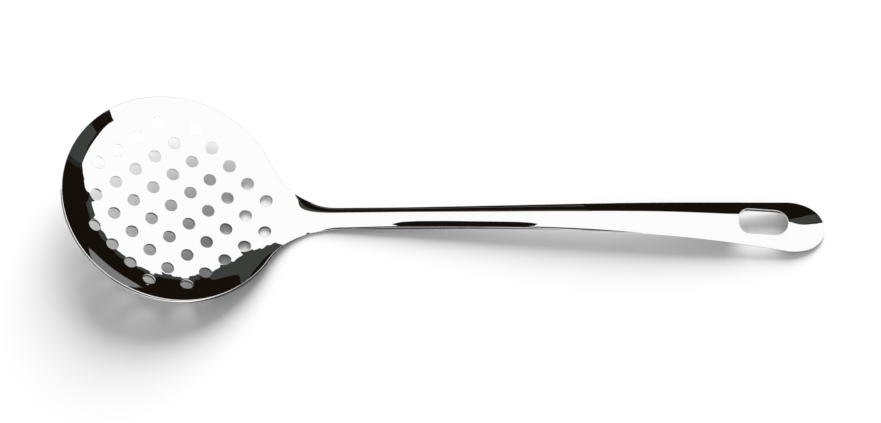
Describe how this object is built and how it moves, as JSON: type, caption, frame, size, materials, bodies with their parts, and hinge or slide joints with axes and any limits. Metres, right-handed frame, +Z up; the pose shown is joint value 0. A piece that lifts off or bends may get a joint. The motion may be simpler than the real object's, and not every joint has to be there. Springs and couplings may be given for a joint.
{
  "type": "kitchen skimmer",
  "caption": "One-piece stainless steel kitchen skimmer: a shallow round bowl pierced with drain holes on a long arched handle, with an oblong slot to hang it by.",
  "frame": {"origin": "middle of the tool's length and width, at the level of the table it lies on", "axes": "+X along the tool from the bowl to the handle's end, +Y across it, +Z up out of the table"},
  "size_m": [0.3402, 0.102, 0.0314],
  "materials": {
    "polished_steel": "bare stainless steel, polished bright on every face"
  },
  "bodies": {
    "root": {"skimmer_body": "polished_steel"}
  },
  "joints": []
}
